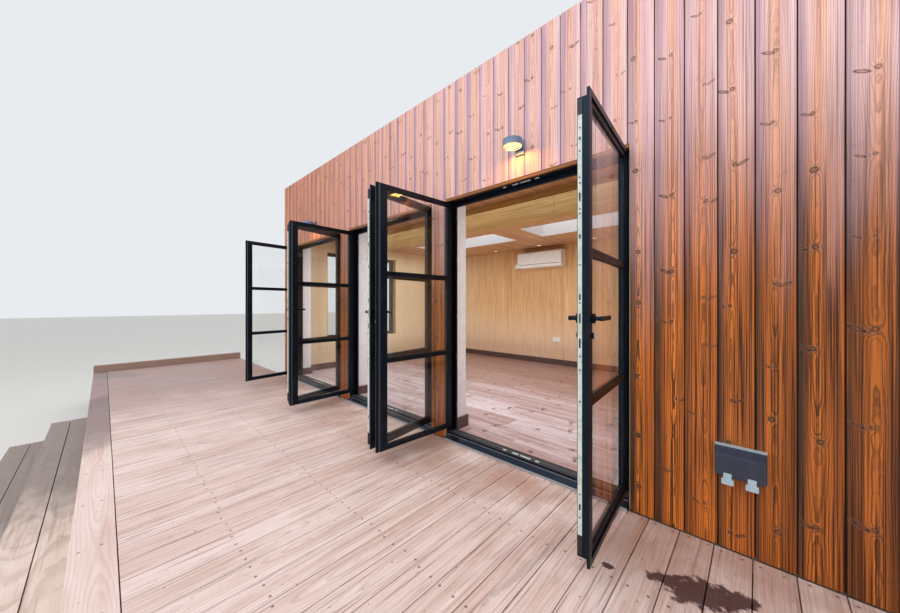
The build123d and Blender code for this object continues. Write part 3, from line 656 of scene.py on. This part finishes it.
def sawn_timber(name, pale, brown, along, stain=0.0, first=0.0, pitch=0.14):
    """Sawn timber on Object coordinates, cut into boards of one pitch, its grain along one axis.
    It can be stained grey at the far end."""
    material, tree, shader = finish(name)
    here, (x, y, z) = object_place(tree)
    off, deep, run = {"x": (y, z, x), "y": (x, z, y), "z": (x, y, z)}[along]
    seed = calc("FRACT", calc("FLOOR", (off - first) / pitch) * 0.377 + 0.37)
    across = calc("WRAP", off - first, pitch, 0.0) - pitch / 2
    run = seed * 31.0 + run
    wood = placed(timber_figure, {"Grain": place_of(across, deep, run), "Seed": seed, "Ring width": 0.014,
                                  "Pith depth": 0.06, "Knot size": 0.012, "Knot spacing": 0.6})
    streak = noise(place_of(across * 46.0, deep * 46.0, run * 1.5), 1.0, 4.0, 0.6)
    shade = layered(tint(wood["Tone"], pale, brown), [
        (wood["Rings"] * 0.3, (120, 84, 62)),
        (ease(streak, 0.52, 0.7, 0.0, 0.55), (150, 118, 100)),
        (ease(wood["Fibre"], 0.6, 0.85, 0.0, 0.25), (110, 80, 64)),
    ])
    if stain:
        patches = noise(here, 3.0, 4.0, 0.6)
        far = ease(patches * 1.8 + x, left + 3.8, left + 2.5, 0.0, stain)
        shade = tint(far, shade, (126, 112, 108))
    dress(shader, shade, wood["Fibre"], 0.55, 0.75, wood["Fibre"], 0.0003)
    return material


step_low, step_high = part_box("step_upper")
coat(sawn_timber("step_timber", (236, 222, 214), (208, 184, 172), "x", 0.85, step_low.y,
                 (step_high.y - step_low.y) / 2), "step_upper", "step_lower", "deck_frame")
coat(sawn_timber("kerb_timber", (186, 160, 148), (140, 112, 100), "y"), "deck_end_kerb")


# Head trims. A thin redwood strip closes the gap between the boards and each door frame's
# head. It is nailed up from below, a little behind the faces of the boards.
trim_height, trim_set_back, trim_back = 0.018, 0.004, 0.0278
trim_timber = sawn_timber("trim_timber", (176, 112, 56), (124, 74, 38), "x")
starts, stops, heads = (np.array([door[place] for door in doorways]) for place in (0, 1, 3))
profile = eased(np.full(3, trim_height), trim_back - trim_set_back, 0.001)
head_trims = bars("head_trims", profile, heads - trim_height / 2, -(face + trim_set_back), starts, stops,
                  (upward, outward, rightward), trim_timber)
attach(head_trims, "root")


# Door frames, leaves and thresholds. Aluminium bars, powder-coated black, with a fine
# texture and a little dust in patches, their reflections tinted blue as a painted sky reflection.
# The thresholds' ribbed track is painted near-black in its grooves as shade, and two bright
# lines run along them: the bare metal lip of the nose and a painted highlight on a ridge.
def black_coat(name, shade, roughness):
    """Powder coat: a fine orange-peel texture, dust where a slow noise is high, and reflections tinted blue,
    a painted sky reflection.
    """
    material, tree, shader = finish(name)
    here, _ = object_place(tree)
    dust = ease(noise(here, 9.0, 5.0, 0.65), 0.5, 0.8)
    feed(shader, {"Base Color": tint(dust * 0.12, shade, (80, 86, 92)),
                  "Roughness": ease(dust, 0.0, 1.0, roughness, roughness + 0.2),
                  # The blue Specular Tint is a painted sky reflection.
                  "Specular IOR Level": 0.4, "Specular Tint": (168, 200, 244),
                  "Normal": raised(noise(here, 700.0, 1.0), 0.00006)})
    return material


black_metal = black_coat("black_aluminium", (5, 11, 17), 0.36)
threshold_metal = black_coat("threshold_aluminium", (26, 28, 34), 0.28)
here, (x, y, z) = object_place(threshold_metal.node_tree)
# Stripes over the ribbed track: paler on the ribs and near-black in the grooves, a painted shade.
groove_shade_stripes = calc("FRACT", (y - (face + 0.036)) / 0.01) < 0.5
on_track = calc("COMPARE", y, face + 0.062, 0.033)
lay_over(threshold_metal, on_track * 0.85, tint(groove_shade_stripes, (92, 96, 104), (10, 11, 13)))
# Two bright lines: the bare metal lip of the nose, and a painted highlight along a ridge.
bare_lip_and_ridge_highlight = calc("MAXIMUM", calc("COMPARE", y, face - 0.021, 0.0016), calc("COMPARE", y, face + 0.014, 0.0014))
lay_over(threshold_metal, bare_lip_and_ridge_highlight * 0.8, (172, 176, 182))
leaves = ["door_leaf_%d_%s" % (number, side) for number in (1, 2, 3) for side in ("left", "right")]
coat(black_metal, *leaves, "gable_window_frame", "roof_edge_trim")
for number in (1, 2, 3):
    coat(black_metal, "door_frame_%d" % number, "lever_handle_%d" % number)
    coat(threshold_metal, "door_threshold_%d" % number)


# Glass. Sealed units in the leaves, the side window and the rooflights. Lamps shine
# straight through, and the camera sees the bent and mirrored light of real glass.
clear_glass, tree, shader = finish("clear_glass")
here, _ = object_place(tree)
smear = ease(noise(here, 3.0, 4.0), 0.4, 0.8)
feed(shader, {"Base Color": tint(smear, (0.97, 0.985, 0.98, 1), (0.93, 0.955, 0.95, 1)),
              "Roughness": 0.0, "IOR": 1.45, "Transmission Weight": 1.0})
shadow_ray = output("Is Shadow Ray", "LightPath", {}, tree)
through = output(0, "BsdfTransparent", {"Color": (0.93, 0.95, 0.945, 1)}, tree)
mixed = output(0, "MixShader", {0: shadow_ray, 1: Value(shader.outputs[0]), 2: through})
feed(tree.nodes["Material Output"], {"Surface": mixed})
panes = [name.replace("leaf", "glass") for name in leaves]
coat(clear_glass, *panes, "gable_window_glass", "rooflight_glass")


# Lining. Birch-faced plywood sheets on the walls and beam, and pinker sheets on the
# ceiling, butted together and screwed along their edges.
def make_veneer_figure():
    """Rotary-cut veneer: contour lines of a slow noise stretched along the grain."""
    group, given, result = new_group("veneer_figure", {"Vector": None}, ["Lines", "Tone", "Fibre"])
    x, y, z = parts_of(given["Vector"])
    slow = noise(place_of(x * 5.0, y, z * 0.22), 1.0, 2.0, 0.4)
    part = calc("FRACT", slow * 26.0)
    lines = ease(part, 0.2, 0.8) * (1.0 - ease(part, 0.82, 1.0))
    fine = place_of(x * 150.0, y * 150.0, z * 1.6)
    feed(result, {"Lines": lines, "Tone": noise(given["Vector"], 1.1, 2.0),
                  "Fibre": noise(fine, 1.0, 3.0, 0.6)})
    return group


veneer_figure = make_veneer_figure()


def plywood(name, pale, brown, across, along, sheet):
    """Plywood: veneer lines, a tone for each sheet along X, and a thin dark joint between sheets. On the
    walls it is paler low down and towards the left end, painted light.
    """
    material, tree, shader = finish(name)
    here, (x, y, z) = object_place(tree)
    values = {"x": x, "y": y, "z": z}
    other = values[[axis for axis in "xyz" if axis not in (across, along)][0]]
    joint = 1.0 - ease(calc("PINGPONG", x / sheet, 0.5) * sheet, 0.001, 0.0028)
    chance = dice(calc("FLOOR", x / sheet))
    vector = place_of(chance * 17.0 + values[across], other, values[along])
    veneer = placed(veneer_figure, {"Vector": vector})
    shade = tint(chance * 0.5 + veneer["Tone"] * 0.6, pale, brown)
    shade = tint(veneer["Lines"] * 0.2, shade, brown, "MULTIPLY")
    shade = tint(ease(veneer["Fibre"], 0.42, 0.75, 0.0, 0.5), shade, brown, "MULTIPLY")
    broad = noise(place_of(values[across] * 17.0, other, values[along] * 0.9), 1.0, 6.0, 0.75)
    shade = tint(ease(broad, 0.5, 0.7, 0.0, 0.5), shade, brown, "MULTIPLY")
    shade = tint(ease(broad, 0.46, 0.3, 0.0, 0.3), shade, (250, 226, 190))
    # Walls only: paler low down and towards the room's left end, painted light.
    if along == "z":
        shade = tint(ease(z, deck + 1.3, deck + 0.1, 0.0, 0.45), shade, (252, 226, 204))
        shade = tint(ease(x, left + 1.6, left + 0.3, 0.0, 0.6), shade, (232, 214, 182))
    shade = tint(joint * 0.7, shade, (70, 44, 26))
    dress(shader, shade, veneer["Fibre"], 0.4, 0.52, veneer["Fibre"] - joint, 0.0003)
    return material


def white_shafts(material):
    """White paint on the faces inside the two rooflight openings, found by Object coordinates."""
    here, (x, y, z) = object_place(material.node_tree)
    low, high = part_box("rooflight_glass")
    kerb, length, past = 0.060, 1.805, 0.004
    within = calc("COMPARE", y, (low.y + high.y) / 2, (high.y - low.y) / 2 - kerb + past)
    inside = 0.0
    for start in (low.x + kerb, high.x - kerb - length):
        inside = calc("MAXIMUM", inside, calc("COMPARE", x, start + length / 2, length / 2 + past))
    lay_over(material, inside * within, (246, 246, 248))
    return material


coat(plywood("wall_ply", (226, 184, 132), (202, 152, 98), "x", "z", 1.22), "wall_lining")
coat(plywood("beam_ply", (194, 158, 94), (178, 138, 76), "z", "x", 2.44), "boxed_beam")
ceiling_ply = plywood("ceiling_ply", (194, 146, 100), (178, 126, 82), "x", "y", 1.22)
coat(white_shafts(ceiling_ply), "ceiling")


# Painted boards, the wall unit and the outdoor socket. Paint and moulded plastic with a faint
# mottle. The socket's raised lid, which leans with its front, and its two pale clips ride with it.
def paint(name, shade, darker, roughness, scale=14.0):
    """Paint or moulded plastic with a faint mottle."""
    material, tree, shader = finish(name)
    here, _ = object_place(tree)
    mottle = noise(here, scale, 4.0, 0.6)
    feed(shader, {"Base Color": tint(ease(mottle, 0.35, 0.75), shade, darker),
                  "Roughness": ease(mottle, 0.3, 0.7, roughness, roughness + 0.1),
                  "Normal": raised(noise(here, 260.0, 2.0), 0.00008)})
    return material


coat(paint("white_paint", (242, 240, 242), (232, 229, 231), 0.5), "door_reveals")
coat(paint("skirting_paint", (96, 72, 70), (80, 58, 56), 0.4), "skirting")
coat(paint("white_plastic", (232, 226, 216), (224, 217, 206), 0.28),
     "air_conditioner", "wall_sockets", "downlights")
# The wall lights' blue-grey is partly a painted sky reflection.
coat(paint("lamp_grey_sky_tint", (112, 134, 164), (92, 112, 140), 0.36), "wall_lights")
roof_membrane = paint("roof_membrane", (96, 97, 99), (84, 85, 88), 0.7, 3.0)
here, (x, y, z) = object_place(roof_membrane.node_tree)
seam = ease(calc("PINGPONG", x, 0.5), 0.012, 0.004)
feed(lay_over(roof_membrane, seam * 0.6, (58, 59, 62)), {"Normal": raised(seam, 0.002)})
coat(white_shafts(roof_membrane), "roof_deck")

socket_plastic = paint("socket_plastic", (52, 62, 84), (44, 52, 72), 0.22)
here, (x, y, z) = object_place(socket_plastic.node_tree)
socket_low, socket_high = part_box("outdoor_socket")
pale_parts = calc("MAXIMUM", z < socket_low.z + 0.0262, z > socket_high.z - 0.0012)
lay_over(socket_plastic, pale_parts, (176, 200, 212))
coat(socket_plastic, "outdoor_socket")


def rounded_lid(name, origin, ways, width, height, corner, rings, material):
    """A raised panel: a rectangle with quarter-circle corners, drawn in by each ring's inset and
    lifted by its rise, with the last ring closed."""
    turn = np.linspace(0, math.pi / 2, 6)
    outline = []
    for sign_u, sign_v, start in ((1, 1, 0), (-1, 1, 1), (-1, -1, 2), (1, -1, 3)):
        swing = turn + start * math.pi / 2
        centre = (sign_u * (width / 2 - corner), sign_v * (height / 2 - corner))
        outline.append(np.stack([np.cos(swing), np.sin(swing)], axis=1) * corner + centre)
    outline = np.concatenate(outline)
    across, up, out = (np.array(way, float) for way in ways)
    points = []
    for inset, rise in rings:
        ring = outline * [1 - 2 * inset / width, 1 - 2 * inset / height]
        points.append(np.array(origin) + ring[:, :1] * across + ring[:, 1:] * up + rise * out)
    count = len(outline)
    here, first = np.arange(count), np.arange(len(rings)) * count
    faces = ring_faces(first[:-1, None], count).reshape(-1, 4).tolist()
    faces += [(here + first[-1]).tolist(), here[::-1].tolist()]
    return mesh_piece(name, np.concatenate(points), faces, material)


lid_plastic = paint("lid_plastic", (44, 52, 70), (36, 42, 58), 0.2)
clip_plastic = paint("clip_plastic", (176, 200, 212), (160, 184, 198), 0.3)
socket_clip, socket_deep = 0.0264, 0.082
lean = math.atan2(0.08 * socket_deep, socket_high.z - socket_low.z - 2.4 * socket_clip)
socket_x = (socket_low.x + socket_high.x) / 2
lid_level = socket_low.z + 0.084
lid_y = face - socket_deep + (lid_level - socket_low.z - 1.4 * socket_clip) * math.tan(lean)
lid_ways = (rightward, (0, math.sin(lean), math.cos(lean)), (0, -math.cos(lean), math.sin(lean)))
lid_rings = ((0.0, -0.001), (0.0, 0.0012), (0.0012, 0.0024), (0.004, 0.0026))
lid_width, lid_height, lid_corner = 0.162, 0.086, 0.012
socket_lid = rounded_lid("lid", (socket_x, lid_y, lid_level), lid_ways, lid_width, lid_height, lid_corner,
                         lid_rings, lid_plastic)
clips = []
for share in (0.27, 0.73):
    clip_x = socket_low.x + share * (socket_high.x - socket_low.x)
    for wide, low, high, proud in ((0.030, 0.018, 0.054, 0.0025), (0.044, 0.001, 0.027, 0.0045)):
        centre = (clip_x, face - socket_deep - 0.0002, socket_low.z + (low + high) / 2)
        rings = ((0.0, -0.016 if wide > 0.04 else -0.001), (0.0, proud - 0.001), (0.001, proud))
        clips.append(rounded_lid("clip", centre, (rightward, upward, outward), wide, high - low, 0.004,
                                 rings, clip_plastic))
socket_cover = joined("socket_cover", [socket_lid] + clips)
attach(socket_cover, "root")
coat(paint("concrete", (168, 165, 158), (146, 143, 137), 0.85, 6.0), "base_plinth")
coat(sawn_timber("wall_core", (206, 176, 132), (182, 148, 104), "z"), "left_wall", "right_wall",
     "back_wall", "front_wall_left_end", "front_wall_pier_1", "front_wall_pier_2", "front_wall_right_end",
     "front_wall_head")


# Room floor. Wide oak planks run along the room over a solid base, with tight joints.
floor_low, floor_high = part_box("room_floor")
lining_low, lining_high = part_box("wall_lining")
plank_width, plank_length, plank_thickness, plank_gap = 0.190, 1.9, 0.020, 0.0004
plank_joint, plank_ease, plank_stagger, shortest = 0.0006, 0.0012, 0.83, 0.02
wall_back = face + 0.238

# Oiled oak: pinkish-brown planks with dark rings and knots, each of its own tone, and browner
# towards the back of the room, a painted shade away from the doorways
floor_oak, tree, shader = finish("floor_oak")
wood = board_grain(tree, ring_width=0.012, pith_depth=0.05, knot_size=0.022, knot_spacing=0.6)
here, (x, y, z) = object_place(tree)
base = layered(tint(wood["Chance"], (246, 236, 244), (210, 188, 192)), [
    (ease(wood["Tone"], 0.42, 0.7, 0.0, 0.75), (174, 140, 136)),
    (wood["Rings"] * 0.4, (140, 100, 90)),
    (ease(wood["Fibre"], 0.46, 0.72, 0.0, 0.7), (126, 88, 80)),
    # Browner further from the doorways: painted shade.
    (ease(y, face + 0.7, face + 2.6, 0.0, 0.8), (146, 102, 82)),
    (calc("MAXIMUM", wood["Halo"] * 0.35, wood["Knot edge"] * 0.7), (120, 80, 72)),
    (wood["Knot"] * 0.9, (66, 42, 36)),
])
dress(shader, base, wood["Fibre"], 0.3, 0.42, wood["Fibre"], 0.0003)

rows = []
y = floor_high.y
course = 0
while y > floor_low.y + 0.001:
    near = max(y - plank_width, floor_low.y)
    spans = [(lining_low.x, lining_high.x)]
    if y <= wall_back + 0.001:
        spans = [(door[0] - jamb_hidden, door[1] + jamb_hidden) for door in doorways]
    elif near < wall_back:
        near = wall_back
    for low, high in spans:
        joint = low - (course * plank_stagger % plank_length)
        while joint < high:
            start, end = max(joint, low), min(joint + plank_length, high)
            if end - start > shortest:
                rows.append((near, y, start, end))
            joint += plank_length
    course += 1
    y = near
rows = np.array(rows)
profile = eased(rows[:, 1] - rows[:, 0] - plank_joint, plank_thickness, plank_ease)
planks = bars("floor_planks", profile, (rows[:, 0] + rows[:, 1]) / 2, floor_high.z,
              rows[:, 2] + plank_gap / 2, rows[:, 3] - plank_gap / 2, (inward, upward, rightward), floor_oak)
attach(planks, "root")
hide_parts("room_floor")


# Leaf fittings. Each glass unit has a dark spacer bar round its edge. The leading leaves
# have a bare metal lock plate let into the free edge; its bolt slots are dark bars laid on it,
# painted shade in place of holes through it.
hinge_in, axis_depth, leaf_long = 0.006, 0.019, 0.7255
rest_angles = {"left": (82.7, 89.3, 93.3), "right": (104.4, 98.0, 93.9)}
leaf_foot, leaf_head = deck + 0.098, deck + 2.080
rail, glazing_bar, hinge_stile, free_stile = 0.052, 0.035, 0.050, 0.066
outer, thickness = 0.007, 0.057
handle_rise = 1.125
spacer_metal = paint("spacer_metal", (58, 60, 62), (46, 48, 50), 0.4, 40.0)
# Bare metal mottled with green-grey: the green is a painted reflection.
plate_metal_green_glint = paint("plate_metal_green_glint", (214, 222, 216), (176, 196, 184), 0.28, 40.0)
dark_metal_and_slot_shade = paint("dark_metal_and_slot_shade", (30, 31, 34), (20, 21, 24), 0.4, 40.0)


def leaf_ways(number, side):
    """Hinge place and the unit directions of a resting leaf: along it and through it to the room."""
    low, high = doorways[number][:2]
    sign, hinge_x = (1, low + hinge_in) if side == "left" else (-1, high - hinge_in)
    turn = math.radians(rest_angles[side][number])
    along = (sign * math.cos(turn), -math.sin(turn), 0)
    through = (sign * math.sin(turn), math.cos(turn), 0)
    return (hinge_x, face + axis_depth, 0), along, through


def flat_bar(name, leaf, from_to, depth, heights, material):
    """Upright bars with square edges, from two distances along a leaf and two depths through it."""
    (place, along, through), (s0, s1), (n0, n1), (z0, z1) = leaf, from_to, depth, heights
    each = np.zeros(np.size(z0))
    profile = eased(n1 - n0 + each, s1 - s0 + each, 0.0004)
    return bars(name, profile, (n0 + n1) / 2, s1, z0, z1, (through, along, upward), material, origin=place)


pane = (leaf_head - leaf_foot - 2 * rail - 2 * glazing_bar) / 3
pane_feet = leaf_foot + rail + np.arange(3) * (pane + glazing_bar)
spacer_reach, spacer_wide, spacer_deep = 0.004, 0.009, 0.014
middle = outer + thickness / 2
plate_at, plate_heights = leaf_long - 0.020, (deck + 0.21, deck + 1.985)
end_heights = (deck + np.array([0.13, 1.987]), deck + np.array([0.208, 2.05]))
slot_feet = deck + np.array([0.282, 0.316, 0.38, 0.77, 0.904, 0.962, 1.0, 1.105, 1.188, 1.203, 1.348, 1.462,
                             1.566, 1.584, 1.62, 1.694, 1.718, 1.829, 1.88, 1.928])
slot_lengths = np.array([5, 25, 5, 7, 5, 5, 40, 40, 5, 25, 5, 18, 5, 5, 35, 5, 5, 5, 12, 5]) / 1000
key_at, key_level, key_wide, key_tall = leaf_long - 0.042, deck + handle_rise - 0.072, 0.012, 0.021
# Each fitting: distances along the leaf, depths through it, heights and metal
fittings = [((plate_at, plate_at + 0.003), (0.043, 0.061), plate_heights, plate_metal_green_glint),
            ((plate_at, plate_at + 0.0034), (0.042, 0.062), end_heights, dark_metal_and_slot_shade),
            # Bolt slots: dark bars laid on the plate, painted shade in place of holes.
            ((plate_at, plate_at + 0.0036), (0.0485, 0.0555), (slot_feet, slot_feet + slot_lengths),
             dark_metal_and_slot_shade)]
for depths in ((-0.0012, 0.0), (0.071, 0.0722)):
    fittings.append(((key_at - key_wide / 2, key_at + key_wide / 2), depths,
                     (key_level - key_tall / 2, key_level + key_tall / 2), plate_metal_green_glint))
for number in range(3):
    for side in ("left", "right"):
        leaf = leaf_ways(number, side)
        name = "%d_%s" % (number + 1, side)
        depth = (middle - spacer_deep / 2, middle + spacer_deep / 2)
        start, end = hinge_stile + spacer_reach, leaf_long - free_stile - spacer_reach
        foot, head = pane_feet + spacer_reach, pane_feet + pane - spacer_reach
        low = np.repeat([start - spacer_wide, end, start, start], 3)
        high = np.repeat([start, end + spacer_wide, end, end], 3)
        z0 = np.concatenate([foot - spacer_wide] * 3 + [head])
        z1 = np.concatenate([head + spacer_wide, head + spacer_wide, foot, head + spacer_wide])
        spacers = flat_bar("spacers_" + name, leaf, (low, high), depth, (z0, z1), spacer_metal)
        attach(spacers, "door_leaf_" + name)
        if side == "left":
            continue
        plate = joined("lock_plate_" + name, [flat_bar("plate", leaf, *fitting) for fitting in fittings])
        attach(plate, "door_leaf_" + name)


# Keepers. Small metal plates for the leaf bolts, screwed under the head of each frame and on
# to each threshold where the two leaves meet.
rebate_head, threshold_top = deck + 2.086, deck + 0.060
keeper_offsets = np.array([-0.15, -0.055, 0.03, 0.125])
keeper_lengths = np.array([0.03, 0.05, 0.085, 0.03])
keeper_width, keeper_thick, keeper_ease = 0.018, 0.0012, 0.0003
keeper_middle, keeper_proud = face + 0.055, 0.0011
keepers = []
for door in doorways:
    centre = (door[0] + door[1]) / 2
    starts = centre + keeper_offsets - keeper_lengths / 2
    for level, out in ((rebate_head, -1), (threshold_top, 1)):
        profile = eased(np.full(4, keeper_width), keeper_thick, keeper_ease)
        keepers.append(bars("keeper", profile, keeper_middle, level * out + keeper_proud, starts,
                            starts + keeper_lengths, (inward, (0, 0, out), rightward), plate_metal_green_glint))
keeper_plates = joined("keeper_plates", keepers)
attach(keeper_plates, "root")


# Jamb screws. Bright round screw heads up both upright stops of every door frame, on the
# faces that look at each other across the doorway.
screw_rises = deck + np.array([0.29, 0.71, 1.08, 1.59, 1.957])
screw_radius, screw_thick = 0.0035, 0.0012
stop_side, stop_middle = 0.043, face + 0.1025
heads = []
for door in doorways:
    for x, sign in ((door[0] + stop_side, 1), (door[1] - stop_side, -1)):
        heads.append(bars("head", circles(5, screw_radius, 10), stop_middle, screw_rises, sign * x,
                          sign * x + screw_thick, (inward, upward, (sign, 0, 0)), plate_metal_green_glint))
jamb_screws = joined("jamb_screws", heads)
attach(jamb_screws, "root")


# Lamp lenses. Warm frosted discs close the open ends of the two wall lights and of the
# ceiling lights. Small warm lamps stand in for the light that the wall lights throw.
lens_glow, tree, shader = finish("lens_glow")
here, _ = object_place(tree)
frost = noise(here, 60.0, 2.0)
feed(shader, {"Base Color": tint(frost, (250, 236, 204), (244, 224, 184)), "Roughness": 0.5,
              "Emission Color": tint(frost, (255, 232, 180), (252, 214, 150)), "Emission Strength": 0.8})

lights_low, lights_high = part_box("wall_lights")
light_radius, light_recess, light_height, light_level = 0.069, 0.016, 0.046, deck + 2.310
lamp_y = lights_low.y + light_radius
lens_radius, lens_thick = light_radius - 0.0055, 0.004
lens_foot = light_level - light_height / 2 + light_recess - lens_thick
lamp_xs = (lights_low.x + light_radius, lights_high.x - light_radius)
wall_lenses = bars("wall_lenses", circles(2, lens_radius, 24), lamp_xs, lamp_y, lens_foot,
                   lens_foot + lens_thick, (rightward, inward, upward), lens_glow, np.zeros(2))
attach(wall_lenses, "root")
spots_low, spots_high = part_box("downlights")
spot_radius, spot_opening, spot_thick = 0.042, 0.68, 0.0017
spot_xs = np.linspace(spots_low.x + spot_radius, spots_high.x - spot_radius, 6)
spot_y, spot_foot = (spots_low.y + spots_high.y) / 2, spots_low.z + 0.0003
spot_lenses = bars("ceiling_lenses", circles(6, spot_radius * spot_opening, 24), spot_xs, spot_y, spot_foot,
                   spot_foot + spot_thick, (rightward, inward, upward), lens_glow, np.zeros(6))
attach(spot_lenses, "root")
for number, x in enumerate(lamp_xs):
    glow = soft_lamp("glow_lamp_%d" % (number + 1), 0.1, 0.1, 44.0, (x, lamp_y, lens_foot - 0.002),
                     (x, lamp_y + 0.0001, deck))
    glow.data.color = colour(255, 184, 92)[:3]
    glow.visible_camera = False
